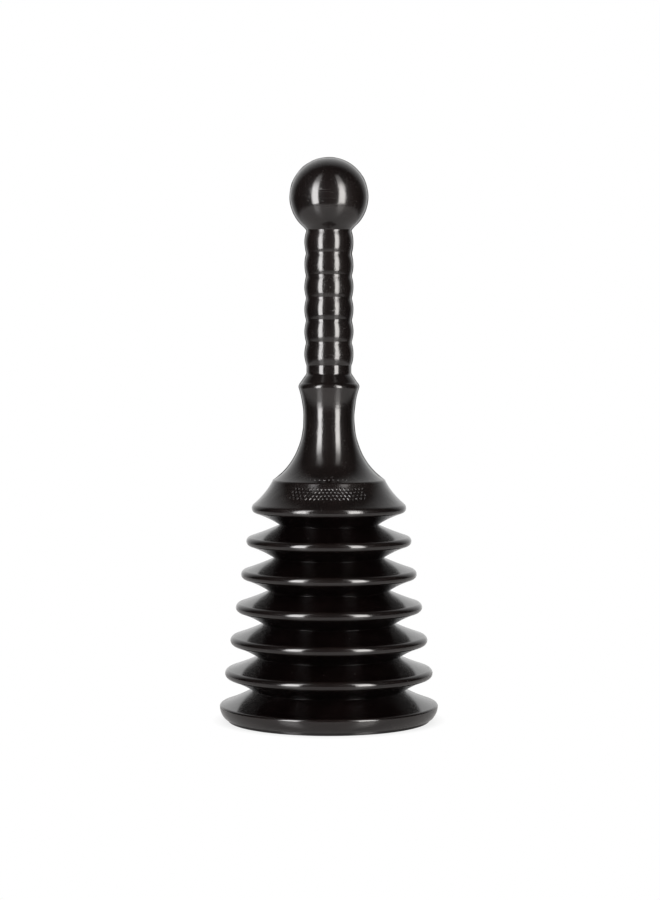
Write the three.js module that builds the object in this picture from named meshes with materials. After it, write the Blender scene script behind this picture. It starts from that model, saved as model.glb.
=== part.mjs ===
// Sink plunger: a hollow ribbed handle with a ball on top, a bell below it, and a
// bellows of six pleats that ends in a broad sealing lip. Every piece is a solid of
// revolution about Z, drawn as a half section of (radius, height) points.
import * as THREE from 'three';

// Driving dimensions, in millimetres.
const SIDES = 32;
const WALL = 1.9;
const HANDLE_WALL = 2.4;

// Bellows: the lip is rim 0, rims 1 to 5 stand above it, and the bell's rim is the sixth.
const PLEATS = 6;
const PITCH = 15.47;
const LIP_RADIUS = 51.1;
const LIP_LEVEL = 6.8;
const RIM_TAPER = 2.5;
const NOSE_RADIUS = 2.3;
const LIP_NOSE_RADIUS = 1.2;
const VALLEY_RADIUS = 35.8;
const VALLEY_TAPER = 2.56;
const FOLD_HALF_HEIGHT = 1.2;

// A web leaves its rim at this slope, in degrees, and keeps it over this share of its run
// before it steepens towards the valley.
const WEB_SLOPE = 18.3;
const WEB_SHARE = 0.53;

// Sealing lip and the bead that it stands on.
const SKIRT_RADIUS = 7.3;
const FOOT_HEIGHT = 1.5;
const FOOT_RADIUS = 46.9;
const MOUTH_RADIUS = 43.2;

// Bell: shoulder cone, flare, waist and collar.
const SHOULDER_NOSE = 2.6;
const SHOULDER_NOSE_END = 46;
const SHOULDER_LOW_SLOPE = 40.2;
const SHOULDER_HIGH_SLOPE = 62.4;
const CREASE_RADIUS = 26.3;
const CREASE_LEVEL = 112.7;
const WAIST_RADIUS = 11.7;
const WAIST_LEVEL = 141.4;
const FLARE_WIDTH = 25.6;
const FLARE_HEIGHT = 31.8;
const WAIST_CURVE = 47.8;
const COLLAR_LEVEL = 156.1;
const COLLAR_ROUND = 2.6;
const COLLAR_ROUND_END = 47.5;
const BELL_TOP = 161.4;
const BELL_TOP_RADIUS = 10.9;

// Grip: a plain stub, then six ribs with sharp grooves between them.
const STUB_RADIUS = 10.3;
const STUB_START = 162.8;
const RIBS = 6;
const RIB_PITCH = 10.35;
const RIBS_START = 166.4;
const RIB_RADIUS = 11.25;
const GROOVE_RADIUS = 10.4;
const GRIP_TOP = 229.5;

// Ball on top of the grip.
const BALL_RADIUS = 18.2;
const BALL_LEVEL = 244.43;

// Facets along each kind of rounded stretch.
const NOSE_STEPS = 5;
const HALF_NOSE_STEPS = 3;
const HOLLOW_STEPS = 2;
const WEB_STEPS = 2;
const SKIRT_STEPS = 5;
const INNER_SKIRT_STEPS = 3;
const SHOULDER_STEPS = 2;
const CONE_STEPS = 3;
const FLARE_STEPS = 7;
const INNER_FLARE_STEPS = 5;
const WAIST_STEPS = 3;
const COLLAR_STEPS = 2;
const RIB_STEPS = 4;
const BALL_STEPS = 12;
const BALL_HOLLOW_STEPS = 8;

const BLACK = { color: 0x1b1716, metalness: 0 };
const GLOSS = { ...BLACK, roughness: 0.22 };
const SATIN = { ...BLACK, roughness: 0.42 };

// Points on a circle or an ellipse from one angle to another, in degrees.
function arc(centre, radii, from, to, steps) {
  const [wide, tall] = radii;
  const points = [];
  for (let i = 0; i <= steps; i += 1) {
    const angle = THREE.MathUtils.degToRad(from + ((to - from) * i) / steps);
    points.push([centre[0] + wide * Math.cos(angle), centre[1] + tall * Math.sin(angle)]);
  }
  return points;
}

// Points on a curve from one point to another that is pulled towards a third.
function bend(start, pull, end, steps) {
  const curve = new THREE.QuadraticBezierCurve(
    new THREE.Vector2(...start),
    new THREE.Vector2(...pull),
    new THREE.Vector2(...end),
  );
  return curve.getPoints(steps).map((point) => [point.x, point.y]);
}

function degrees(radians) {
  return THREE.MathUtils.radToDeg(radians);
}

function tangent(angle) {
  return Math.tan(THREE.MathUtils.degToRad(angle));
}

// A section is drawn up the outside and down the inside, so the faces point out.
function turned(name, section, finish) {
  const points = section.map(([radius, height]) => new THREE.Vector2(radius, height));
  const mesh = new THREE.Mesh(
    new THREE.LatheGeometry(points, SIDES),
    new THREE.MeshStandardMaterial(finish),
  );
  mesh.name = name;
  mesh.rotation.x = Math.PI / 2;
  return mesh;
}

// The rim number, counted from the lip, sets each rim's level and widest radius.
function rimLevel(rim) {
  return LIP_LEVEL + PITCH * rim;
}

function rimRadius(rim) {
  return LIP_RADIUS - RIM_TAPER * rim;
}

function valleyRadius(pleat) {
  return VALLEY_RADIUS - VALLEY_TAPER * pleat;
}

// The lip's upper nose is sharper than the noses of the rims above it.
function noseRadius(rim) {
  return rim === 0 ? LIP_NOSE_RADIUS : NOSE_RADIUS;
}

function noseCentre(rim) {
  return [rimRadius(rim) - noseRadius(rim), rimLevel(rim)];
}

// A rim parts from its webs on flat planes, where the nose turns into the web's slope.
const NOSE_SWEEP = 90 - WEB_SLOPE;

function halfHeight(rim) {
  return noseRadius(rim) * Math.sin(THREE.MathUtils.degToRad(NOSE_SWEEP));
}

function planeRadius(rim) {
  const inset = 1 - Math.cos(THREE.MathUtils.degToRad(NOSE_SWEEP));
  return rimRadius(rim) - noseRadius(rim) * inset;
}

// The mean slope of a web, between a rim's parting plane and the valley of a pleat.
function webAngle(rim, pleat) {
  const rise = PITCH / 2 - halfHeight(rim);
  return Math.atan2(rise, planeRadius(rim) - valleyRadius(pleat));
}

// The inner edge of the parting plane, one wall thickness in from the web's outside.
function innerPlaneRadius(rim, pleat) {
  return planeRadius(rim) - WALL / Math.sin(webAngle(rim, pleat));
}

function rimRing(rim) {
  const level = rimLevel(rim);
  const centre = noseCentre(rim);
  const hollow = NOSE_RADIUS - WALL;
  const above = 90 - degrees(webAngle(rim, rim));
  const below = 90 - degrees(webAngle(rim, rim - 1));
  const lowerInner = [innerPlaneRadius(rim, rim - 1), level - halfHeight(rim)];
  const section = [
    lowerInner,
    ...arc(centre, [NOSE_RADIUS, NOSE_RADIUS], -NOSE_SWEEP, NOSE_SWEEP, NOSE_STEPS),
    [innerPlaneRadius(rim, rim), level + halfHeight(rim)],
    ...arc(centre, [hollow, hollow], above, -below, HOLLOW_STEPS),
    lowerInner,
  ];
  return turned(`bellows_rim_${rim}`, section, GLOSS);
}

// The outside of a web, from the rim's parting plane to the valley of a pleat. upward is
// 1 above the rim and -1 below it.
function web(rim, pleat, upward) {
  const start = [planeRadius(rim), rimLevel(rim) + upward * halfHeight(rim)];
  const share = (planeRadius(rim) - valleyRadius(pleat)) * WEB_SHARE;
  const pull = [start[0] - share, start[1] + upward * share * tangent(WEB_SLOPE)];
  const valley = [valleyRadius(pleat), rimLevel(rim) + (upward * PITCH) / 2];
  return bend(start, pull, valley, WEB_STEPS);
}

// The folding wall between rim number pleat and the rim above it.
function gusset(pleat) {
  const bottom = rimLevel(pleat) + halfHeight(pleat);
  const top = rimLevel(pleat + 1) - halfHeight(pleat + 1);
  const middle = rimLevel(pleat) + PITCH / 2;
  const fold = valleyRadius(pleat) - WALL;
  const lowerInner = [innerPlaneRadius(pleat, pleat), bottom];
  const section = [
    lowerInner,
    ...web(pleat, pleat, 1),
    ...web(pleat + 1, pleat, -1).reverse().slice(1),
    [innerPlaneRadius(pleat + 1, pleat), top],
    [fold, middle + FOLD_HALF_HEIGHT],
    [fold, middle - FOLD_HALF_HEIGHT],
    lowerInner,
  ];
  return turned(`bellows_gusset_${pleat + 1}`, section, SATIN);
}

function sealingLip() {
  const skirtCentre = [LIP_RADIUS - SKIRT_RADIUS, LIP_LEVEL];
  const inner = SKIRT_RADIUS - WALL;
  const outerEnd = degrees(Math.asin((LIP_LEVEL - FOOT_HEIGHT) / SKIRT_RADIUS));
  const innerEnd = degrees(Math.asin((LIP_LEVEL - FOOT_HEIGHT - WALL) / inner));
  const nose = [LIP_NOSE_RADIUS, LIP_NOSE_RADIUS];
  const section = [
    [MOUTH_RADIUS, FOOT_HEIGHT],
    ...arc(skirtCentre, [SKIRT_RADIUS, SKIRT_RADIUS], -outerEnd, 0, SKIRT_STEPS),
    ...arc(noseCentre(0), nose, 0, NOSE_SWEEP, HALF_NOSE_STEPS).slice(1),
    [innerPlaneRadius(0, 0), LIP_LEVEL + halfHeight(0)],
    ...arc(skirtCentre, [inner, inner], 0, -innerEnd, INNER_SKIRT_STEPS),
    [MOUTH_RADIUS, FOOT_HEIGHT + WALL],
    [MOUTH_RADIUS, FOOT_HEIGHT],
  ];
  return turned('sealing_lip', section, GLOSS);
}

function footBead() {
  const section = [
    [MOUTH_RADIUS, 0],
    [FOOT_RADIUS, 0],
    [FOOT_RADIUS, FOOT_HEIGHT],
    [MOUTH_RADIUS, FOOT_HEIGHT],
    [MOUTH_RADIUS, 0],
  ];
  return turned('foot_bead', section, SATIN);
}

// The hollow cone of the shoulder, from its rounded rim up to the crease, steeper at the
// top. The curve is pulled to where its two end slopes cross.
function shoulderCone(start) {
  const low = tangent(SHOULDER_LOW_SLOPE);
  const high = tangent(SHOULDER_HIGH_SLOPE);
  const run = start[0] - CREASE_RADIUS;
  const across = (CREASE_LEVEL - start[1] - low * run) / (high - low);
  const pull = [CREASE_RADIUS + across, CREASE_LEVEL - high * across];
  return bend(start, pull, [CREASE_RADIUS, CREASE_LEVEL], CONE_STEPS);
}

// The outside of the bell from the rim's nose up to the crease, the waist and the collar.
function bellOutside(rim) {
  const level = rimLevel(rim);
  const noseRadii = [NOSE_RADIUS, NOSE_RADIUS];
  const nose = arc(noseCentre(rim), noseRadii, -NOSE_SWEEP, 0, HALF_NOSE_STEPS);
  const roundCentre = [rimRadius(rim) - SHOULDER_NOSE, level];
  const roundRadii = [SHOULDER_NOSE, SHOULDER_NOSE];
  const shoulder = arc(roundCentre, roundRadii, 0, SHOULDER_NOSE_END, SHOULDER_STEPS);
  const cone = shoulderCone(shoulder[shoulder.length - 1]);
  const flareStart = 180 + degrees(Math.asin((WAIST_LEVEL - CREASE_LEVEL) / FLARE_HEIGHT));
  const flareCentre = [WAIST_RADIUS + FLARE_WIDTH, WAIST_LEVEL];
  const flare = arc(flareCentre, [FLARE_WIDTH, FLARE_HEIGHT], flareStart, 180, FLARE_STEPS);
  const rise = COLLAR_LEVEL - WAIST_LEVEL;
  const sweep = degrees(Math.asin(rise / WAIST_CURVE));
  const waistCentre = [WAIST_RADIUS + WAIST_CURVE, WAIST_LEVEL];
  const waist = arc(waistCentre, [WAIST_CURVE, WAIST_CURVE], 180, 180 - sweep, WAIST_STEPS);
  const edge = waist[waist.length - 1];
  const collarCentre = [edge[0] - COLLAR_ROUND, edge[1]];
  const collarRadii = [COLLAR_ROUND, COLLAR_ROUND];
  const collar = arc(collarCentre, collarRadii, 0, COLLAR_ROUND_END, COLLAR_STEPS);
  return [
    ...nose,
    ...shoulder.slice(1),
    ...cone.slice(1),
    ...flare.slice(1),
    ...waist.slice(1),
    ...collar.slice(1),
    [BELL_TOP_RADIUS, BELL_TOP],
  ];
}

// The inside of the bell, from the collar down to the rim's lower parting plane.
function bellInside(rim) {
  const bore = WAIST_RADIUS - HANDLE_WALL;
  const flareCentre = [WAIST_RADIUS + FLARE_WIDTH, WAIST_LEVEL];
  const radii = [FLARE_WIDTH + HANDLE_WALL, FLARE_HEIGHT + HANDLE_WALL / 2];
  const flareEnd = 180 + degrees(Math.asin((WAIST_LEVEL - CREASE_LEVEL) / radii[1]));
  const hollow = NOSE_RADIUS - WALL;
  const below = 90 - degrees(webAngle(rim, rim - 1));
  const gripBore = GROOVE_RADIUS - HANDLE_WALL;
  return [
    [gripBore, BELL_TOP],
    [bore, COLLAR_LEVEL],
    ...arc(flareCentre, radii, 180, flareEnd, INNER_FLARE_STEPS),
    ...arc(noseCentre(rim), [hollow, hollow], SHOULDER_NOSE_END, -below, HOLLOW_STEPS),
    [innerPlaneRadius(rim, rim - 1), rimLevel(rim) - halfHeight(rim)],
  ];
}

function bell() {
  const inside = bellInside(PLEATS);
  const lowerInner = inside[inside.length - 1];
  return turned('bell', [lowerInner, ...bellOutside(PLEATS), ...inside], GLOSS);
}

function ribbedGrip() {
  const bore = GROOVE_RADIUS - HANDLE_WALL;
  const bulge = RIB_RADIUS - GROOVE_RADIUS;
  const ribCurve = ((RIB_PITCH / 2) ** 2 + bulge ** 2) / (2 * bulge);
  const sweep = degrees(Math.asin(RIB_PITCH / 2 / ribCurve));
  const section = [
    [bore, BELL_TOP],
    [BELL_TOP_RADIUS, BELL_TOP],
    [STUB_RADIUS, STUB_START],
    [STUB_RADIUS, RIBS_START - (GROOVE_RADIUS - STUB_RADIUS)],
    [GROOVE_RADIUS, RIBS_START],
  ];
  for (let rib = 0; rib < RIBS; rib += 1) {
    const centre = [RIB_RADIUS - ribCurve, RIBS_START + RIB_PITCH * (rib + 0.5)];
    section.push(...arc(centre, [ribCurve, ribCurve], -sweep, sweep, RIB_STEPS).slice(1));
  }
  section.push([GROOVE_RADIUS, GRIP_TOP], [bore, GRIP_TOP], [bore, BELL_TOP]);
  return turned('ribbed_grip', section, GLOSS);
}

function ballKnob() {
  const bore = GROOVE_RADIUS - HANDLE_WALL;
  const centre = [0, BALL_LEVEL];
  const inner = BALL_RADIUS - HANDLE_WALL;
  const outerStart = degrees(Math.asin((GRIP_TOP - BALL_LEVEL) / BALL_RADIUS));
  const innerEnd = -degrees(Math.acos(bore / inner));
  const hollow = arc(centre, [inner, inner], 90, innerEnd, BALL_HOLLOW_STEPS);
  const shell = arc(centre, [BALL_RADIUS, BALL_RADIUS], outerStart, 90, BALL_STEPS);
  hollow[0][0] = 0;
  shell[shell.length - 1][0] = 0;
  return turned('ball_knob', [...hollow, [bore, GRIP_TOP], ...shell], GLOSS);
}

const plunger = new THREE.Group();
plunger.add(ballKnob(), ribbedGrip(), bell());
for (let rim = PLEATS - 1; rim > 0; rim -= 1) {
  plunger.add(rimRing(rim));
}
for (let pleat = PLEATS - 1; pleat >= 0; pleat -= 1) {
  plunger.add(gusset(pleat));
}
plunger.add(sealingLip(), footBead());

export default plunger;
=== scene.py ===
"""Sink plunger: the fine surfaces, materials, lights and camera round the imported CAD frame.

Every surface of the moulding is a closed solid of revolution about Z, drawn as a half
section of (radius, height) points. Lengths are in metres.
"""
import math
import random

import bpy
import numpy as np
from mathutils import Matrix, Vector, noise


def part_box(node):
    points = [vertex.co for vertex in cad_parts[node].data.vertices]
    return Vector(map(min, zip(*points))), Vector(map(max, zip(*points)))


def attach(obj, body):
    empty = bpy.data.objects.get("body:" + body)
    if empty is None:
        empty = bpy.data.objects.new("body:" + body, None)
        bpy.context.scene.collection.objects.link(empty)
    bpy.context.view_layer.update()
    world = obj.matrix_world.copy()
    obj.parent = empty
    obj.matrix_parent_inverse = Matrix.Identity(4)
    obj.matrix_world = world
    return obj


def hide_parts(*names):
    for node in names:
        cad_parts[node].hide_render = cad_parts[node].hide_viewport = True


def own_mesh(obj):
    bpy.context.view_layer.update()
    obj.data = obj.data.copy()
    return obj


MM = 0.001

# ---------------------------------------------------------------- points along each stretch
COLUMNS = 192
TUBE_END_STEPS = 2
BUTT_STEPS = 4
NOSE_STEPS = 40
HALF_NOSE_STEPS = 20
RIM_HOLLOW_STEPS = 12
WEB_STEPS = 28
VALLEY_STEPS = 6
INNER_WEB_STEPS = 8
SKIRT_STEPS = 28
INNER_SKIRT_STEPS = 12
LIP_NOSE_STEPS = 18
LIP_ROOF_STEPS = 6
MOUTH_STEPS = 3
FOOT_FACE_STEPS = 3
FOOT_ROUND_STEPS = 4
FOOT_WALL_STEPS = 2
SHOULDER_STEPS = 12
CONE_STEPS = 20
INNER_CONE_STEPS = 6
FLARE_STEPS = 48
INNER_FLARE_STEPS = 20
BELL_HOLLOW_STEPS = 10
WAIST_STEPS = 16
COLLAR_STEPS = 12
COLLAR_TOP_STEPS = 6
STUB_STEPS = 8
GROOVE_STEPS = 8
CROWN_STEPS = 16
FILLET_STEPS = 5
BORE_STEPS = 24
BALL_STEPS = 72
BALL_HOLLOW_STEPS = 40

# ---------------------------------------------------------------- the moulding's sizes
WALL = 1.9 * MM
HANDLE_WALL = 2.4 * MM
SHARP_ANGLE = math.radians(32)

PLEATS = 6
NOSE_RADIUS = 2.3 * MM
LIP_NOSE_RADIUS = 1.2 * MM
WEB_SLOPE = 18.3
WEB_SHARE = 0.53
NOSE_SWEEP = 90 - WEB_SLOPE
VALLEY_RADIUS = 35.8 * MM
VALLEY_TAPER = 2.56 * MM
VALLEY_ROUND = 0.12 * MM
FOLD_HALF_HEIGHT = 1.2 * MM
FOLD_BULGE = 0.5 * MM

SKIRT_RADIUS = 7.3 * MM
FOOT_RADIUS = 47.3 * MM
FOOT_ROUND = 0.25 * MM
MOUTH_RADIUS = 43.2 * MM

SHOULDER_NOSE = 2.6 * MM
SHOULDER_NOSE_END = 46
SHOULDER_LOW_SLOPE = 40.2
SHOULDER_HIGH_SLOPE = 62.4
CREASE_RADIUS = 26.2 * MM
CREASE_LEVEL = 112.7 * MM
WAIST_RADIUS = 11.64 * MM
WAIST_LEVEL = 141.4 * MM
FLARE_WIDTH = 25.6 * MM
FLARE_HEIGHT = 31.8 * MM
WAIST_CURVE = 47.8 * MM
COLLAR_LEVEL = 156.1 * MM
COLLAR_ROUND = 2.6 * MM
COLLAR_ROUND_END = 47.5
BELL_TOP_RADIUS = 10.85 * MM

STUB_RADIUS = 10.19 * MM
STUB_START = 162.8 * MM
STUB_PULL = 0.75 * MM
RIBS = 6
RIB_PITCH = 10.35 * MM
RIBS_START = 166.4 * MM
RIB_RADIUS = 11.18 * MM
GROOVE_RADIUS = 10.3 * MM
GROOVE_ROUND = 0.95 * MM
BALL_RADIUS = 18.1 * MM
BALL_FILLET = 0.3 * MM
BALL_START = -49.75

# ---------------------------------------------------------------- the parting flash
FLASH_HEIGHT = 0.26 * MM
FLASH_ROOT = 0.3 * MM
FLASH_HALF_WIDTH = 0.13 * MM
FLASH_EDGE = 0.55
FLASH_STEP = 0.6 * MM

# Its height varies by this share, and it dies away over its last few steps.
FLASH_UNEVEN = 0.35
FLASH_UNEVEN_RATE = 0.13
FLASH_END_STEPS = 6
FLASH_END_HEIGHT = 0.15
FLASH_PLACE = 7

# ---------------------------------------------------------------- the raised motif
DIAMOND_ROWS = 4
DIAMOND_SPREAD = 35
DIAMOND_PITCH = 3.7
DIAMOND_HALF_WIDTH = 0.75 * MM
DIAMOND_HALF_HEIGHT = 0.95 * MM
DIAMOND_RAISED = 0.35 * MM
DIAMOND_FIRST = 6.4 * MM
DIAMOND_ROW_STEP = 1.75 * MM
STUDS = 9
STUD_SPREAD = 20
STUD_RADIUS = 0.6 * MM
STUD_LEVEL = 2.6 * MM
MOTIF_ROOT = 0.3 * MM
MOTIF_SEED = 11
DIAMOND_HEIGHTS = (0.5, 1.3)
STUD_HEIGHTS = (0.8, 1.2)
BOSS_CORNER_STEP = 45  # degrees

# A boss's dome, from its edge to its crown, as (share of its width, share of its height).
BOSS_DOME = ((1.0, 0.1), (0.82, 0.55), (0.55, 0.86), (0.2, 1))

# ---------------------------------------------------------------- small unevenness
WOBBLE_DEPTH = 0.1 * MM
WOBBLE_SIZE = 34 * MM
RIPPLE_DEPTH = 0.025 * MM
RIPPLE_SIZE = 8 * MM
SMALLEST_RADIUS = 5 * MM
ON_AXIS = 1e-9

# ---------------------------------------------------------------- camera and lights
CAMERA_AT = (0.0005, -1.161, 0.1845)
CAMERA_TILT = 2.85
LENS_MM = 99.6
SENSOR_MM = 36


# ================================================================ section drawing
def arc(centre, radii, start, end, steps):
    """Points on a circle or ellipse from one angle to another, in degrees."""
    wide, tall = radii if isinstance(radii, tuple) else (radii, radii)
    angles = np.radians(np.linspace(start, end, steps + 1))
    return [(centre[0] + wide * math.cos(a), centre[1] + tall * math.sin(a)) for a in angles]


def bend(start, pull, end, steps):
    """Points on a curve from start to end that is drawn towards pull."""
    points = []
    for t in np.linspace(0, 1, steps + 1):
        weights = ((1 - t) ** 2, 2 * t * (1 - t), t * t)
        points.append(tuple(sum(w * p[i] for w, p in zip(weights, (start, pull, end)))
                            for i in range(2)))
    return points


def line(start, end, steps):
    """Evenly spaced points on a straight line."""
    return [tuple(s + (e - s) * t for s, e in zip(start, end))
            for t in np.linspace(0, 1, steps + 1)]


def joined(*runs):
    """Runs of points put end to end. Every run gives up its last point, because what
    follows it begins there: the next run, or the first one where the outline closes."""
    return [point for run in runs for point in run[:-1]]


def wobble(x, y, z):
    """How far the moulded wall stands out of true at a point."""
    slow = noise.noise(Vector((x, y, z)) / WOBBLE_SIZE)
    fast = noise.noise(Vector((y, z, x)) / RIPPLE_SIZE)
    return WOBBLE_DEPTH * slow + RIPPLE_DEPTH * fast


def turned(name, outline):
    """A closed solid of revolution. An outline that starts and ends on the axis gets a
    single point at each pole; any other outline closes on itself."""
    capped = outline[0][0] < ON_AXIS
    rings = outline[1:-1] if capped else outline
    angles = np.arange(COLUMNS) * 2 * math.pi / COLUMNS
    vertices = []
    for radius, height in rings:
        for angle in angles:
            x, y = radius * math.cos(angle), radius * math.sin(angle)
            out = 1 + wobble(x, y, height) / max(radius, SMALLEST_RADIUS)
            vertices.append((x * out, y * out, height))
    faces = []
    count = len(rings)
    for ring in range(count - 1 if capped else count):
        low, high = ring * COLUMNS, ((ring + 1) % count) * COLUMNS
        for column in range(COLUMNS):
            beside = (column + 1) % COLUMNS
            faces.append((low + column, low + beside, high + beside, high + column))
    if capped:
        first, last = len(vertices), len(vertices) + 1
        vertices += [(0, 0, outline[0][1]), (0, 0, outline[-1][1])]
        top = (count - 1) * COLUMNS
        for column in range(COLUMNS):
            beside = (column + 1) % COLUMNS
            faces.append((first, beside, column))
            faces.append((last, top + column, top + beside))
    return solid(name, vertices, faces)


def solid(name, vertices, faces):
    """An object of these faces, smooth except at its sharp edges."""
    mesh = bpy.data.meshes.new(name)
    mesh.from_pydata(vertices, [], faces)
    mesh.validate()
    mesh.shade_smooth()
    mesh.set_sharp_from_angle(angle=SHARP_ANGLE)
    piece = bpy.data.objects.new(name, mesh)
    bpy.context.collection.objects.link(piece)
    return piece


# ================================================================ the frame's own sizes
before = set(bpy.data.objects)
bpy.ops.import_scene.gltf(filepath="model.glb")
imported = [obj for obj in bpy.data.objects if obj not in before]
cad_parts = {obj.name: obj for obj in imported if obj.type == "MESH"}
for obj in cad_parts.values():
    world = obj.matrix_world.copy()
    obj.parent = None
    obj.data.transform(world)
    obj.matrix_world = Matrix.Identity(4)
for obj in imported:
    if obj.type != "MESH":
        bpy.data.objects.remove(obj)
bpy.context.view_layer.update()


def span(node):
    """A node's lowest and highest level and its widest radius."""
    low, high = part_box(node)
    return low[2], high[2], high[0]


LIP_BOTTOM, LIP_TOP, LIP_RADIUS = span("sealing_lip")
RIM_BOTTOM, RIM_TOP, _ = span("bellows_rim_1")
BELL_BOTTOM, BELL_TOP, BELL_RADIUS = span("bell")
GRIP_TOP = span("ribbed_grip")[1]
BALL_TOP, BALL_CAD_RADIUS = span("ball_knob")[1:]
LIP_LEVEL = LIP_TOP - LIP_NOSE_RADIUS * math.sin(math.radians(NOSE_SWEEP))
PITCH = (BELL_BOTTOM + (RIM_TOP - RIM_BOTTOM) / 2 - LIP_LEVEL) / PLEATS
RIM_TAPER = (LIP_RADIUS - BELL_RADIUS) / PLEATS
BALL_LEVEL = BALL_TOP - BALL_CAD_RADIUS


def rim_level(rim):
    """The level of a rim's widest circle. The lip is rim 0 and the bell's rim the last."""
    return LIP_LEVEL + PITCH * rim


def rim_radius(rim):
    return LIP_RADIUS - RIM_TAPER * rim


def valley_radius(pleat):
    return VALLEY_RADIUS - VALLEY_TAPER * pleat


def nose_radius(rim):
    return NOSE_RADIUS if rim else LIP_NOSE_RADIUS


def nose_centre(rim):
    return (rim_radius(rim) - nose_radius(rim), rim_level(rim))


def half_height(rim):
    """How far above and below a rim's widest circle its webs begin."""
    return nose_radius(rim) * math.sin(math.radians(NOSE_SWEEP))


def plane_radius(rim):
    """The radius at which a rim's outside meets the flat plane where its web begins."""
    return nose_centre(rim)[0] + nose_radius(rim) * math.cos(math.radians(NOSE_SWEEP))


def web_angle(rim, pleat):
    """The mean slope of the web from a rim to the valley of a pleat."""
    rise = PITCH / 2 - half_height(rim)
    return math.atan2(rise, plane_radius(rim) - valley_radius(pleat))


def inner_plane_radius(rim, pleat):
    """The radius at which the inside of a web meets that plane."""
    return plane_radius(rim) - WALL / math.sin(web_angle(rim, pleat))


# ================================================================ the pieces' sections
def rim_outline(rim):
    level, centre, half = rim_level(rim), nose_centre(rim), half_height(rim)
    above = 90 - math.degrees(web_angle(rim, rim))
    below = 90 - math.degrees(web_angle(rim, rim - 1))
    outer_low, outer_high = (plane_radius(rim), level - half), (plane_radius(rim), level + half)
    inner_low = (inner_plane_radius(rim, rim - 1), level - half)
    inner_high = (inner_plane_radius(rim, rim), level + half)
    hollow = arc(centre, NOSE_RADIUS - WALL, above, -below, RIM_HOLLOW_STEPS)
    return joined(
        line(inner_low, outer_low, BUTT_STEPS),
        arc(centre, NOSE_RADIUS, -NOSE_SWEEP, NOSE_SWEEP, NOSE_STEPS),
        line(outer_high, inner_high, BUTT_STEPS),
        line(inner_high, hollow[0], BUTT_STEPS),
        hollow,
        line(hollow[-1], inner_low, BUTT_STEPS),
    )


def web_outside(rim, pleat, upward):
    """The outside of a web, from its rim's plane in to the valley. upward is 1 above the
    rim and -1 below it."""
    start = (plane_radius(rim), rim_level(rim) + upward * half_height(rim))
    share = WEB_SHARE * (start[0] - valley_radius(pleat))
    pull = (start[0] - share, start[1] + upward * share * math.tan(math.radians(WEB_SLOPE)))
    end = (valley_radius(pleat) + VALLEY_ROUND,
           rim_level(rim) + upward * (PITCH - VALLEY_ROUND) / 2)
    return bend(start, pull, end, WEB_STEPS)


def gusset_outline(pleat):
    middle = rim_level(pleat) + PITCH / 2
    fold = valley_radius(pleat) - WALL
    lower = web_outside(pleat, pleat, 1)
    upper = web_outside(pleat + 1, pleat, -1)[::-1]
    inner_low = (inner_plane_radius(pleat, pleat), lower[0][1])
    inner_high = (inner_plane_radius(pleat + 1, pleat), upper[-1][1])
    fold_high, fold_low = (fold, middle + FOLD_HALF_HEIGHT), (fold, middle - FOLD_HALF_HEIGHT)
    return joined(
        line(inner_low, lower[0], BUTT_STEPS),
        lower,
        bend(lower[-1], (valley_radius(pleat), middle), upper[0], VALLEY_STEPS),
        upper,
        line(upper[-1], inner_high, BUTT_STEPS),
        line(inner_high, fold_high, INNER_WEB_STEPS),
        bend(fold_high, (fold - FOLD_BULGE, middle), fold_low, VALLEY_STEPS),
        line(fold_low, inner_low, INNER_WEB_STEPS),
    )


def lip_outline():
    centre = (LIP_RADIUS - SKIRT_RADIUS, LIP_LEVEL)
    inner = SKIRT_RADIUS - WALL
    outer_end = math.degrees(math.asin((LIP_LEVEL - LIP_BOTTOM) / SKIRT_RADIUS))
    inner_end = math.degrees(math.asin((LIP_LEVEL - LIP_BOTTOM - WALL) / inner))
    mouth_low, mouth_high = (MOUTH_RADIUS, LIP_BOTTOM), (MOUTH_RADIUS, LIP_BOTTOM + WALL)
    skirt = arc(centre, SKIRT_RADIUS, -outer_end, 0, SKIRT_STEPS)
    nose = arc(nose_centre(0), LIP_NOSE_RADIUS, 0, NOSE_SWEEP, LIP_NOSE_STEPS)
    inner_high = (inner_plane_radius(0, 0), LIP_TOP)
    inner_skirt = arc(centre, inner, 0, -inner_end, INNER_SKIRT_STEPS)
    return joined(
        line(mouth_low, skirt[0], BUTT_STEPS),
        skirt,
        nose,
        line(nose[-1], inner_high, BUTT_STEPS),
        line(inner_high, inner_skirt[0], LIP_ROOF_STEPS),
        inner_skirt,
        line(inner_skirt[-1], mouth_high, MOUTH_STEPS),
        line(mouth_high, mouth_low, MOUTH_STEPS),
    )


def foot_outline():
    edge = (FOOT_RADIUS - FOOT_ROUND, FOOT_ROUND)
    return joined(
        line((MOUTH_RADIUS, 0), (edge[0], 0), FOOT_FACE_STEPS),
        arc(edge, FOOT_ROUND, -90, 0, FOOT_ROUND_STEPS),
        line((FOOT_RADIUS, FOOT_ROUND), (FOOT_RADIUS, LIP_BOTTOM), FOOT_WALL_STEPS),
        line((FOOT_RADIUS, LIP_BOTTOM), (MOUTH_RADIUS, LIP_BOTTOM), FOOT_FACE_STEPS),
        line((MOUTH_RADIUS, LIP_BOTTOM), (MOUTH_RADIUS, 0), FOOT_WALL_STEPS),
    )


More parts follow.
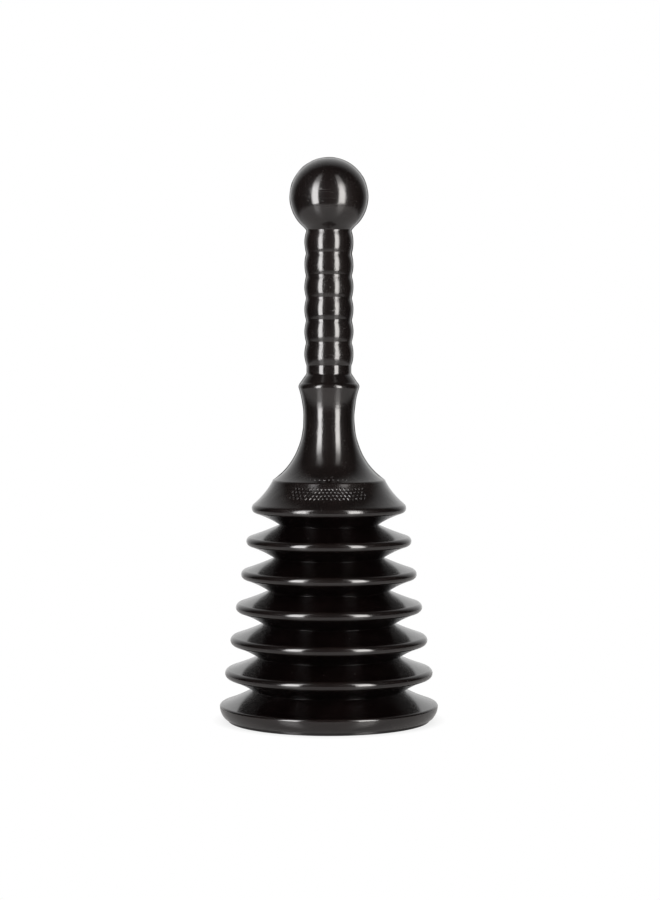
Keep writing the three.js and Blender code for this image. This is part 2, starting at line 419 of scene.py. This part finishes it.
def shoulder_cone():
    """The outside of the shoulder from its rounded rim up to the crease."""
    centre = (rim_radius(PLEATS) - SHOULDER_NOSE, rim_level(PLEATS))
    start = arc(centre, SHOULDER_NOSE, SHOULDER_NOSE_END, SHOULDER_NOSE_END, 0)[0]
    crease = (CREASE_RADIUS, CREASE_LEVEL)
    low = math.tan(math.radians(SHOULDER_LOW_SLOPE))
    high = math.tan(math.radians(SHOULDER_HIGH_SLOPE))
    run = start[0] - crease[0]
    across = (crease[1] - start[1] - low * run) / (high - low)
    pull = (crease[0] + across, crease[1] - high * across)
    return bend(start, pull, crease, CONE_STEPS)


def flare():
    """The outside of the bell from the crease up to the waist."""
    start = 180 + math.degrees(math.asin((WAIST_LEVEL - CREASE_LEVEL) / FLARE_HEIGHT))
    centre = (WAIST_RADIUS + FLARE_WIDTH, WAIST_LEVEL)
    return arc(centre, (FLARE_WIDTH, FLARE_HEIGHT), start, 180, FLARE_STEPS)


def waist_to_top():
    """From the waist up over the collar's rounded edge to the top of the bell."""
    sweep = math.degrees(math.asin((COLLAR_LEVEL - WAIST_LEVEL) / WAIST_CURVE))
    waist_centre = (WAIST_RADIUS + WAIST_CURVE, WAIST_LEVEL)
    waist = arc(waist_centre, WAIST_CURVE, 180, 180 - sweep, WAIST_STEPS)
    collar_centre = (waist[-1][0] - COLLAR_ROUND, waist[-1][1])
    collar = arc(collar_centre, COLLAR_ROUND, 0, COLLAR_ROUND_END, COLLAR_STEPS)
    top = line(collar[-1], (BELL_TOP_RADIUS, BELL_TOP), COLLAR_TOP_STEPS)
    return [*joined(waist, collar), *top]


def bell_outside():
    """From the bell's lower parting plane up to its top."""
    nose = arc(nose_centre(PLEATS), NOSE_RADIUS, -NOSE_SWEEP, 0, HALF_NOSE_STEPS)
    shoulder_centre = (rim_radius(PLEATS) - SHOULDER_NOSE, rim_level(PLEATS))
    shoulder = arc(shoulder_centre, SHOULDER_NOSE, 0, SHOULDER_NOSE_END, SHOULDER_STEPS)
    return [*joined(nose, shoulder, shoulder_cone(), flare()), *waist_to_top()]


def bell_outline():
    outside = bell_outside()
    below = 90 - math.degrees(web_angle(PLEATS, PLEATS - 1))
    flare_centre = (WAIST_RADIUS + FLARE_WIDTH, WAIST_LEVEL)
    radii = (FLARE_WIDTH + HANDLE_WALL, FLARE_HEIGHT + HANDLE_WALL / 2)
    flare_end = 180 + math.degrees(math.asin((WAIST_LEVEL - CREASE_LEVEL) / radii[1]))
    bore = (GROOVE_RADIUS - HANDLE_WALL, BELL_TOP)
    neck = (WAIST_RADIUS - HANDLE_WALL, COLLAR_LEVEL)
    inner_low = (inner_plane_radius(PLEATS, PLEATS - 1), BELL_BOTTOM)
    inner_flare = arc(flare_centre, radii, 180, flare_end, INNER_FLARE_STEPS)
    hollow = arc(nose_centre(PLEATS), NOSE_RADIUS - WALL, SHOULDER_NOSE_END, -below,
                 BELL_HOLLOW_STEPS)
    return joined(
        line(inner_low, outside[0], BUTT_STEPS),
        outside,
        line(outside[-1], bore, TUBE_END_STEPS),
        line(bore, neck, BUTT_STEPS),
        line(neck, inner_flare[0], BUTT_STEPS),
        inner_flare,
        line(inner_flare[-1], hollow[0], INNER_CONE_STEPS),
        hollow,
        line(hollow[-1], inner_low, BUTT_STEPS),
    )


def grip_outside():
    bulge = RIB_RADIUS - GROOVE_RADIUS
    curve = ((RIB_PITCH / 2) ** 2 + bulge ** 2) / (2 * bulge)
    sweep = math.degrees(math.asin(RIB_PITCH / 2 / curve))
    stub_end = (STUB_RADIUS, RIBS_START - (GROOVE_RADIUS - STUB_RADIUS))
    points = joined(
        bend((BELL_TOP_RADIUS, BELL_TOP), (STUB_RADIUS, BELL_TOP + STUB_PULL),
             (STUB_RADIUS, STUB_START), STUB_STEPS),
        line((STUB_RADIUS, STUB_START), stub_end, BUTT_STEPS),
        line(stub_end, (GROOVE_RADIUS, RIBS_START), TUBE_END_STEPS),
    )
    cut = sweep * (1 - GROOVE_ROUND / (RIB_PITCH / 2))
    for rib in range(RIBS):
        foot = (GROOVE_RADIUS, RIBS_START + RIB_PITCH * rib)
        centre = (RIB_RADIUS - curve, foot[1] + RIB_PITCH / 2)
        crown = arc(centre, curve, -cut, cut, CROWN_STEPS)
        points += bend(points[-1], foot, crown[0], GROOVE_STEPS)[1:-1] + crown
    fillet = bend((GROOVE_RADIUS, GRIP_TOP - 2 * BALL_FILLET),
                  (GROOVE_RADIUS, GRIP_TOP - BALL_FILLET),
                  (GROOVE_RADIUS + BALL_FILLET, GRIP_TOP), FILLET_STEPS)
    return [*points, (GROOVE_RADIUS, RIBS_START + RIB_PITCH * RIBS), *fillet]


def grip_outline():
    bore = GROOVE_RADIUS - HANDLE_WALL
    outside = grip_outside()
    return joined(
        line((bore, BELL_TOP), outside[0], TUBE_END_STEPS),
        outside,
        line(outside[-1], (bore, GRIP_TOP), TUBE_END_STEPS),
        line((bore, GRIP_TOP), (bore, BELL_TOP), BORE_STEPS),
    )


def ball_outside():
    """The ball and the small fillet by which it runs out of the grip."""
    ball = arc((0, BALL_LEVEL), BALL_RADIUS, BALL_START, 90, BALL_STEPS)
    return [*line((GROOVE_RADIUS + BALL_FILLET, GRIP_TOP), ball[0], BUTT_STEPS)[:-1], *ball]


def ball_outline():
    bore = GROOVE_RADIUS - HANDLE_WALL
    inner = BALL_RADIUS - HANDLE_WALL
    inner_end = -math.degrees(math.acos(bore / inner))
    hollow = arc((0, BALL_LEVEL), inner, 90, inner_end, BALL_HOLLOW_STEPS)
    shell = ball_outside()
    hollow[0] = (0, hollow[0][1])
    shell[-1] = (0, shell[-1][1])
    tube = (bore, GRIP_TOP)
    neck = joined(line(hollow[-1], tube, TUBE_END_STEPS), line(tube, shell[0], MOUTH_STEPS))
    return [*hollow[:-1], *neck, *shell]


# ================================================================ raised details
def outline_normals(points):
    """The outward direction at each point of an outline that is drawn upwards."""
    points = np.array(points)
    runs = np.gradient(points, axis=0)
    lengths = np.linalg.norm(runs, axis=1, keepdims=True)
    return np.column_stack((runs[:, 1], -runs[:, 0])) / lengths


def resampled(points, step):
    """The same outline with its points spread evenly, about step apart."""
    points = np.array(points)
    gaps = np.linalg.norm(np.diff(points, axis=0), axis=1)
    along = np.concatenate(([0], np.cumsum(gaps)))
    places = np.linspace(0, along[-1], max(2, int(along[-1] / step)) + 1)
    return np.column_stack([np.interp(places, along, points[:, i]) for i in range(2)])


def parting_flash():
    """The thin fin that the mould's two halves leave along the handle. It runs up one
    side from the shoulder's crease, over the ball and down the other side."""
    side = [*flare(), *waist_to_top(), *grip_outside(), *ball_outside()]
    side = resampled(side, FLASH_STEP)
    normals = outline_normals(side)
    path = [*zip(side, normals)]
    path += [((-p[0], p[1]), (-n[0], n[1])) for p, n in path[-2::-1]]
    thin = FLASH_HALF_WIDTH * FLASH_EDGE
    vertices, faces = [], []
    for number, (point, normal) in enumerate(path):
        place = Vector((number * FLASH_UNEVEN_RATE, FLASH_PLACE, 0))
        uneven = 1 + FLASH_UNEVEN * noise.noise(place)
        ends = min(1, min(number, len(path) - 1 - number) / FLASH_END_STEPS)
        height = FLASH_HEIGHT * uneven * (FLASH_END_HEIGHT + (1 - FLASH_END_HEIGHT) * ends)
        root = [point[i] - FLASH_ROOT * normal[i] for i in range(2)]
        crest = [point[i] + height * normal[i] for i in range(2)]
        vertices += [
            (root[0], -FLASH_HALF_WIDTH, root[1]), (crest[0], -thin, crest[1]),
            (crest[0], thin, crest[1]), (root[0], FLASH_HALF_WIDTH, root[1]),
        ]
    for step in range(len(path) - 1):
        here, there = 4 * step, 4 * (step + 1)
        for edge in range(4):
            beside = (edge + 1) % 4
            faces.append((here + edge, there + edge, there + beside, here + beside))
    last = 4 * (len(path) - 1)
    faces += [(3, 2, 1, 0), (last, last + 1, last + 2, last + 3)]
    return solid("parting_flash", vertices, faces)


def on_outline(points, along):
    """The point and outward normal a given way up an outline of the bell."""
    points = np.array(points)
    gaps = np.linalg.norm(np.diff(points, axis=0), axis=1)
    places = np.concatenate(([0], np.cumsum(gaps)))
    normals = outline_normals(points)
    point = [np.interp(along, places, points[:, i]) for i in range(2)]
    normal = [np.interp(along, places, normals[:, i]) for i in range(2)]
    return point, normal


def raised_boss(outline, angle, along, corners, height):
    """A small domed boss that wraps on the bell. corners are (across, up) offsets."""
    rings = [(1.0, -MOTIF_ROOT), *((scale, lift * height) for scale, lift in BOSS_DOME)]
    vertices = []
    for scale, lift in rings:
        for across, up in corners:
            point, normal = on_outline(outline, along + up * scale)
            radius, level = point[0] + lift * normal[0], point[1] + lift * normal[1]
            turn = angle + across * scale / point[0]
            vertices.append((radius * math.sin(turn), -radius * math.cos(turn), level))
    count = len(corners)
    last = (len(rings) - 1) * count
    faces = [tuple(range(count))[::-1], tuple(range(last, last + count))]
    for ring in range(len(rings) - 1):
        for corner in range(count):
            beside = (corner + 1) % count
            low, high = ring * count, (ring + 1) * count
            faces.append((low + corner, low + beside, high + beside, high + corner))
    return vertices, faces


def shoulder_motif():
    """A generic band on the front of the shoulder: staggered rows of small diamonds, with
    a short row of studs above the crease."""
    chance = random.Random(MOTIF_SEED)
    cone, flare_outline = shoulder_cone(), flare()
    turns = np.radians(np.arange(0, 360, BOSS_CORNER_STEP))
    diamond = [(DIAMOND_HALF_WIDTH * math.sin(a) * abs(math.sin(a)),
                DIAMOND_HALF_HEIGHT * math.cos(a) * abs(math.cos(a))) for a in turns][::-1]
    stud = [(STUD_RADIUS * math.sin(a), STUD_RADIUS * math.cos(a)) for a in turns][::-1]
    vertices, faces = [], []

    def add(boss):
        start = len(vertices)
        vertices.extend(boss[0])
        faces.extend(tuple(start + i for i in face) for face in boss[1])

    for row in range(DIAMOND_ROWS):
        shift = DIAMOND_PITCH / 2 * (row % 2)
        for angle in np.arange(-DIAMOND_SPREAD + shift, DIAMOND_SPREAD + 0.1, DIAMOND_PITCH):
            height = DIAMOND_RAISED * chance.uniform(*DIAMOND_HEIGHTS)
            along = DIAMOND_FIRST + row * DIAMOND_ROW_STEP
            add(raised_boss(cone, math.radians(angle), along, diamond, height))
    for angle in np.linspace(-STUD_SPREAD, STUD_SPREAD, STUDS):
        height = DIAMOND_RAISED * chance.uniform(*STUD_HEIGHTS)
        add(raised_boss(flare_outline, math.radians(angle), STUD_LEVEL, stud, height))
    return solid("shoulder_motif", vertices, faces)


# ================================================================ materials
PLASTIC_IOR = 1.5
HAZE_ROUGHNESS = 0.42

# Noise: scale and detail, and for the nicks the stretch.
CLOUD_NOISE = (70, 4.0)
GRAIN_NOISE = (1500, 2.0)
SWELL_NOISE = (110, 1.0)
RUBBED_NOISE = (130, 2.0)
NICK_NOISE = (2400, 1.0, (1, 1, 0.6))

# Scratches: scale, stretch, turn, width, then the scale and level of their patches.
UPRIGHT_LINES = (900, (1, 1, 0.05), (0.05, 0.03, 0), 0.012, 60, 0.5)
SLANTED_LINES = (500, (0.08, 1, 1), (0, 0.6, 0.4), 0.01, 90, 0.56)
PATCH_EDGE = 0.08

# The stretches of a noise over which each effect comes in.
CLOUD_RANGE = (0.35, 0.7)
TINT_RANGE = (0.35, 0.75)
RUBBED_RANGE = (0.5, 0.62)
DUST_RANGE = (0.05, 0.11)
DUST_RARITY = (0.93, 0.96)

DUST_SCALE = 420
DUST_ROUGHNESS = 0.25
DUST_COLOUR = (0.03, 0.028, 0.026, 1)
DARK_TINT = 0.7
PALE_TINT = 1.4
SCRATCH_ROUGHNESS = 0.16
SCRATCH_PALENESS = 0.12

# Depths, as shares of the bump's height.
BUMP_HEIGHT = 0.1 * MM
GRAIN_DEPTH = 0.005
SCRATCH_DEPTH = 0.02
RUBBED_DEPTH = 0.25


def new_material(name):
    material = bpy.data.materials.new(name)
    material.use_nodes = True
    tree = material.node_tree
    return material, tree.nodes, tree.links, tree.nodes["Principled BSDF"]


def maths(nodes, links, kind, first, second=None):
    node = nodes.new("ShaderNodeMath")
    node.operation = kind
    for socket, value in zip(node.inputs, (first, second)):
        if value is None:
            continue
        if isinstance(value, (int, float)):
            socket.default_value = value
        else:
            links.new(value, socket)
    return node.outputs[0]


def ranged(nodes, links, value, low, high, to_low, to_high):
    node = nodes.new("ShaderNodeMapRange")
    links.new(value, node.inputs["Value"])
    limits = {"From Min": low, "From Max": high, "To Min": to_low, "To Max": to_high}
    for socket, limit in limits.items():
        node.inputs[socket].default_value = limit
    return node.outputs["Result"]


def noise_at(nodes, links, place, scale, detail=2.0, stretch=(1, 1, 1), turn=(0, 0, 0)):
    mapping = nodes.new("ShaderNodeMapping")
    mapping.inputs["Scale"].default_value = stretch
    mapping.inputs["Rotation"].default_value = turn
    links.new(place, mapping.inputs["Vector"])
    texture = nodes.new("ShaderNodeTexNoise")
    texture.inputs["Scale"].default_value = scale
    texture.inputs["Detail"].default_value = detail
    links.new(mapping.outputs["Vector"], texture.inputs["Vector"])
    return texture.outputs["Fac"]


def hairlines(nodes, links, place, scale, stretch, turn, width, patch_scale, patch_level):
    """Thin broken lines: the level lines of a stretched noise, kept in patches."""
    grain = noise_at(nodes, links, place, scale, 1.0, stretch, turn)
    away = maths(nodes, links, "ABSOLUTE", maths(nodes, links, "SUBTRACT", grain, 0.5))
    lines = ranged(nodes, links, away, 0, width, 1, 0)
    patch = noise_at(nodes, links, place, patch_scale, 1.0)
    kept = ranged(nodes, links, patch, patch_level, patch_level + PATCH_EDGE, 0, 1)
    return maths(nodes, links, "MULTIPLY", lines, kept)


def moulded_black(name, tone, gloss, cloud, haze, ripple, scuffs):
    """Black moulded polyethylene: a gloss with a faint haze over it. tone is its mean
    colour, gloss the roughness of a clean patch, cloud how much rougher the dull patches
    are, haze the strength of the haze round bright reflections, ripple the depth of the
    skin's unevenness and scuffs how strongly the fine scratches show."""
    material, nodes, links, shader = new_material(name)
    place = nodes.new("ShaderNodeTexCoord").outputs["Object"]
    cloudy = noise_at(nodes, links, place, *CLOUD_NOISE)
    grain = noise_at(nodes, links, place, *GRAIN_NOISE)
    upright = hairlines(nodes, links, place, *UPRIGHT_LINES)
    slanted = hairlines(nodes, links, place, *SLANTED_LINES)
    scratches = maths(nodes, links, "MAXIMUM", upright, slanted)

    specks = nodes.new("ShaderNodeTexVoronoi")
    specks.inputs["Scale"].default_value = DUST_SCALE
    links.new(place, specks.inputs["Vector"])
    dust = ranged(nodes, links, specks.outputs["Distance"], *DUST_RANGE, 1, 0)
    rare = nodes.new("ShaderNodeSeparateColor")
    links.new(specks.outputs["Color"], rare.inputs["Color"])
    chosen = ranged(nodes, links, rare.outputs["Red"], *DUST_RARITY, 0, 1)
    dust = maths(nodes, links, "MULTIPLY", dust, chosen)

    rough = ranged(nodes, links, cloudy, *CLOUD_RANGE, gloss, gloss + cloud)
    marks = maths(nodes, links, "MULTIPLY", scratches, SCRATCH_ROUGHNESS * scuffs)
    rough = maths(nodes, links, "ADD", rough, marks)
    dusty = maths(nodes, links, "MULTIPLY", dust, DUST_ROUGHNESS)
    rough = maths(nodes, links, "ADD", rough, dusty)
    links.new(rough, shader.inputs["Roughness"])
    shader.inputs["IOR"].default_value = PLASTIC_IOR
    shader.inputs["Coat Weight"].default_value = haze
    shader.inputs["Coat Roughness"].default_value = HAZE_ROUGHNESS
    shader.inputs["Coat IOR"].default_value = PLASTIC_IOR

    tint = nodes.new("ShaderNodeMix")
    tint.data_type = "RGBA"
    tint.inputs["A"].default_value = (*[DARK_TINT * part for part in tone], 1)
    tint.inputs["B"].default_value = (*[PALE_TINT * part for part in tone], 1)
    links.new(ranged(nodes, links, cloudy, *TINT_RANGE, 0, 1), tint.inputs["Factor"])
    fleck = nodes.new("ShaderNodeMix")
    fleck.data_type = "RGBA"
    fleck.inputs["B"].default_value = DUST_COLOUR
    links.new(tint.outputs["Result"], fleck.inputs["A"])
    pale = maths(nodes, links, "MULTIPLY", scratches, SCRATCH_PALENESS)
    marked = maths(nodes, links, "MAXIMUM", dust, pale)
    links.new(marked, fleck.inputs["Factor"])
    links.new(fleck.outputs["Result"], shader.inputs["Base Color"])

    swell = noise_at(nodes, links, place, *SWELL_NOISE)
    height = maths(nodes, links, "MULTIPLY", swell, ripple)
    grit = maths(nodes, links, "MULTIPLY", grain, GRAIN_DEPTH)
    height = maths(nodes, links, "ADD", height, grit)
    cuts = maths(nodes, links, "MULTIPLY", scratches, SCRATCH_DEPTH * scuffs)
    height = maths(nodes, links, "SUBTRACT", height, cuts)
    patches = noise_at(nodes, links, place, *RUBBED_NOISE)
    rubbed = ranged(nodes, links, patches, *RUBBED_RANGE, 0, 1)
    nicks = noise_at(nodes, links, place, *NICK_NOISE)
    nicks = maths(nodes, links, "MULTIPLY", nicks, rubbed)
    nicks = maths(nodes, links, "MULTIPLY", nicks, RUBBED_DEPTH * scuffs)
    height = maths(nodes, links, "ADD", height, nicks)
    bump = nodes.new("ShaderNodeBump")
    bump.inputs["Strength"].default_value = 1
    bump.inputs["Distance"].default_value = BUMP_HEIGHT
    links.new(height, bump.inputs["Height"])
    links.new(bump.outputs["Normal"], shader.inputs["Normal"])
    return material


# ================================================================ the studio
FLOOR_REACH = 0.55
FLOOR_SIZE = 6
FLOOR_MATT = (0.5, 0.49, 0.485, 1)
FLOOR_SHEEN = (0.13, 0.13, 0.13, 1)
FLOOR_SHEEN_ROUGHNESS = 0.25
FLOOR_GLOW = 0.14
FLOOR_EDGE = (0.8 * FLOOR_REACH, 1.15 * FLOOR_REACH)

# The camera sees the floor turn white over this ring, from this share of white.
WHITE_RING = (0.0485, 0.055)
WHITE_SHARE = 0.8


def white_floor():
    """A pale floor. The camera sees it fade to white away from the object, and sees
    through it from below. All other light meets it only near the object, as it would
    meet a table top."""
    half = FLOOR_SIZE / 2
    mesh = bpy.data.meshes.new("floor")
    mesh.from_pydata([(-half, -half, 0), (half, -half, 0), (half, half, 0), (-half, half, 0)],
                     [], [(0, 1, 2, 3)])
    floor = bpy.data.objects.new("floor", mesh)
    bpy.context.collection.objects.link(floor)
    material, nodes, links, shader = new_material("floor_white")
    nodes.remove(shader)
    place = nodes.new("ShaderNodeTexCoord").outputs["Object"]
    reach = nodes.new("ShaderNodeVectorMath")
    reach.operation = "LENGTH"
    links.new(place, reach.inputs[0])
    away = reach.outputs["Value"]
    ray = nodes.new("ShaderNodeLightPath").outputs["Is Camera Ray"]
    unseen = maths(nodes, links, "SUBTRACT", 1, ray)

    def blend(share, first, second):
        mix = nodes.new("ShaderNodeMixShader")
        links.new(share, mix.inputs["Fac"])
        links.new(first, mix.inputs[1])
        links.new(second, mix.inputs[2])
        return mix.outputs["Shader"]

    matt = nodes.new("ShaderNodeBsdfDiffuse")
    matt.inputs["Color"].default_value = FLOOR_MATT
    sheen = nodes.new("ShaderNodeBsdfGlossy")
    sheen.inputs["Color"].default_value = FLOOR_SHEEN
    sheen.inputs["Roughness"].default_value = FLOOR_SHEEN_ROUGHNESS
    table = nodes.new("ShaderNodeAddShader")
    links.new(matt.outputs["BSDF"], table.inputs[0])
    links.new(sheen.outputs["BSDF"], table.inputs[1])
    white = nodes.new("ShaderNodeEmission")
    white.inputs["Strength"].default_value = 1.0
    clear = nodes.new("ShaderNodeBsdfTransparent")
    fade = ranged(nodes, links, away, *WHITE_RING, WHITE_SHARE, 1)
    to_camera = blend(fade, table.outputs["Shader"], white.outputs["Emission"])
    edge = ranged(nodes, links, away, *FLOOR_EDGE, 0, 1)
    glow = nodes.new("ShaderNodeEmission")
    glow.inputs["Strength"].default_value = FLOOR_GLOW
    lit = nodes.new("ShaderNodeAddShader")
    links.new(table.outputs["Shader"], lit.inputs[0])
    links.new(glow.outputs["Emission"], lit.inputs[1])
    to_rest = blend(edge, lit.outputs["Shader"], clear.outputs["BSDF"])
    whole = blend(unseen, to_camera, to_rest)
    below = nodes.new("ShaderNodeNewGeometry").outputs["Backfacing"]
    links.new(blend(below, whole, clear.outputs["BSDF"]),
              nodes["Material Output"].inputs["Surface"])
    mesh.materials.append(material)


ROOM_LEAN = 0.4
ROOM_RANGE = (0.52, 1.0)
ROOM_LIGHT = (0.02, 0.98)


def studio_world():
    """White to the camera. Reflections see a white wall behind, a white ceiling and a
    dark room in front."""
    world = bpy.data.worlds.new("studio")
    bpy.context.scene.world = world
    world.use_nodes = True
    nodes, links = world.node_tree.nodes, world.node_tree.links
    direction = nodes.new("ShaderNodeTexCoord").outputs["Generated"]
    parts = nodes.new("ShaderNodeSeparateXYZ")
    links.new(direction, parts.inputs["Vector"])
    upward = maths(nodes, links, "MAXIMUM", parts.outputs["Z"], 0)
    lean = maths(nodes, links, "MULTIPLY", upward, ROOM_LEAN)
    behind = maths(nodes, links, "ADD", parts.outputs["Y"], lean)
    light = ranged(nodes, links, behind, *ROOM_RANGE, *ROOM_LIGHT)
    seen = nodes.new("ShaderNodeLightPath").outputs["Is Camera Ray"]
    strength = maths(nodes, links, "MAXIMUM", light, seen)
    background = nodes["Background"]
    links.new(strength, background.inputs["Strength"])
    background.inputs["Color"].default_value = (1, 1, 1, 1)


STRIP_WIDTH = 0.55
STRIP_DISTANCE = 1.3
STRIP_FOOT = -0.25
STRIP_FULL = 0.72
STRIP_FADED = 1.65
STRIP_TOP = 2.9
STRIP_TAIL = 0.34

# Where its light comes in and goes out across it, as shares of half its width.
STRIP_OUTER = (-1, -0.45)
STRIP_INNER = (0.8, 1)


def strip_light(name, azimuth, tint, strength):
    """A tall softbox that faces the object, azimuth degrees round from the camera. It
    fades slowly towards its outer side and its top, and ends sharply on its inner side."""
    inward = 1 if azimuth < 0 else -1
    half = STRIP_WIDTH / 2
    mesh = bpy.data.meshes.new(name)
    mesh.from_pydata([(-half, 0, STRIP_FOOT), (half, 0, STRIP_FOOT), (half, 0, STRIP_TOP),
                      (-half, 0, STRIP_TOP)], [], [(0, 1, 2, 3)])
    panel = bpy.data.objects.new(name, mesh)
    bpy.context.collection.objects.link(panel)
    angle = math.radians(azimuth)
    panel.location = (STRIP_DISTANCE * math.sin(angle), -STRIP_DISTANCE * math.cos(angle), 0)
    panel.rotation_euler = (0, 0, angle)
    panel.visible_camera = False
    material, nodes, links, shader = new_material(name)
    nodes.remove(shader)
    place = nodes.new("ShaderNodeTexCoord").outputs["Object"]
    parts = nodes.new("ShaderNodeSeparateXYZ")
    links.new(place, parts.inputs["Vector"])
    across = maths(nodes, links, "MULTIPLY", parts.outputs["X"], inward)
    outer = ranged(nodes, links, across, *[share * half for share in STRIP_OUTER], 0, 1)
    inner = ranged(nodes, links, across, *[share * half for share in STRIP_INNER], 1, 0)
    main = ranged(nodes, links, parts.outputs["Z"], STRIP_FULL, STRIP_FADED, 1, 0)
    tail = ranged(nodes, links, parts.outputs["Z"], STRIP_FULL, STRIP_TOP, STRIP_TAIL, 0)
    top = maths(nodes, links, "MAXIMUM", main, tail)
    shape = maths(nodes, links, "MULTIPLY", outer, inner)
    shape = maths(nodes, links, "MULTIPLY", shape, top)
    glow = nodes.new("ShaderNodeEmission")
    glow.inputs["Color"].default_value = (*tint, 1)
    links.new(maths(nodes, links, "MULTIPLY", shape, strength), glow.inputs["Strength"])
    links.new(glow.outputs["Emission"], nodes["Material Output"].inputs["Surface"])
    mesh.materials.append(material)


def camera():
    data = bpy.data.cameras.new("camera")
    data.lens = LENS_MM
    data.sensor_width = SENSOR_MM
    viewer = bpy.data.objects.new("camera", data)
    bpy.context.collection.objects.link(viewer)
    viewer.location = CAMERA_AT
    viewer.rotation_euler = (math.radians(90 - CAMERA_TILT), 0, 0)
    bpy.context.scene.camera = viewer


# ================================================================ build
camera()
studio_world()
white_floor()
strip_light("softbox_left", azimuth=-42.5, tint=(1.0, 0.98, 0.978), strength=16.8)
strip_light("softbox_right", azimuth=41, tint=(1.0, 0.97, 0.945), strength=15.8)
bpy.context.scene.view_settings.view_transform = "Standard"

handle_black = moulded_black("handle_black", tone=(0.0036, 0.0024, 0.0022), gloss=0.1,
                             cloud=0.06, haze=0.13, ripple=0.05, scuffs=1.5)
rim_black = moulded_black("rim_black", tone=(0.0036, 0.0023, 0.0021), gloss=0.09,
                          cloud=0.06, haze=0.1, ripple=0.03, scuffs=0.8)
# A darker copy of the same black for the folds' webs and the foot ring. Its tone is about half
# the handle's and the rims', which is painted shade in the folds and under the lip.
painted_shade_black = moulded_black("painted_shade_black", tone=(0.0016, 0.0008, 0.0008), gloss=0.16,
                          cloud=0.05, haze=0.02, ripple=0.03, scuffs=0.2)


def fit_out(piece, node, body, material):
    """Give a piece its material, slot and body, and hide the CAD node that it stands for."""
    piece.data.materials.append(material)
    if node:
        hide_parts(node)
    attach(piece, body)


def body_of_rim(rim):
    return f"rim_{rim}" if rim else "lip_base"


fit_out(turned("ball_end", ball_outline()), "ball_knob", "handle", handle_black)
fit_out(turned("grip_tube", grip_outline()), "ribbed_grip", "handle", handle_black)
fit_out(turned("bell_shell", bell_outline()), "bell", "handle", handle_black)
fit_out(parting_flash(), None, "handle", handle_black)
fit_out(shoulder_motif(), None, "handle", handle_black)
for rim in range(1, PLEATS):
    fit_out(turned(f"rim_bead_{rim}", rim_outline(rim)), f"bellows_rim_{rim}",
            body_of_rim(rim), rim_black)
fit_out(turned("lip_shell", lip_outline()), "sealing_lip", "lip_base", rim_black)
# The foot ring takes the darker black, painted shade under the lip.
fit_out(turned("foot_ring", foot_outline()), "foot_bead", "lip_base", painted_shade_black)

# The webs take the darker black, painted shade in the folds.
for pleat in range(PLEATS):
    web = turned(f"web_fold_{pleat + 1}", gusset_outline(pleat))
    fit_out(web, f"bellows_gusset_{pleat + 1}", body_of_rim(pleat), painted_shade_black)
    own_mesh(web)
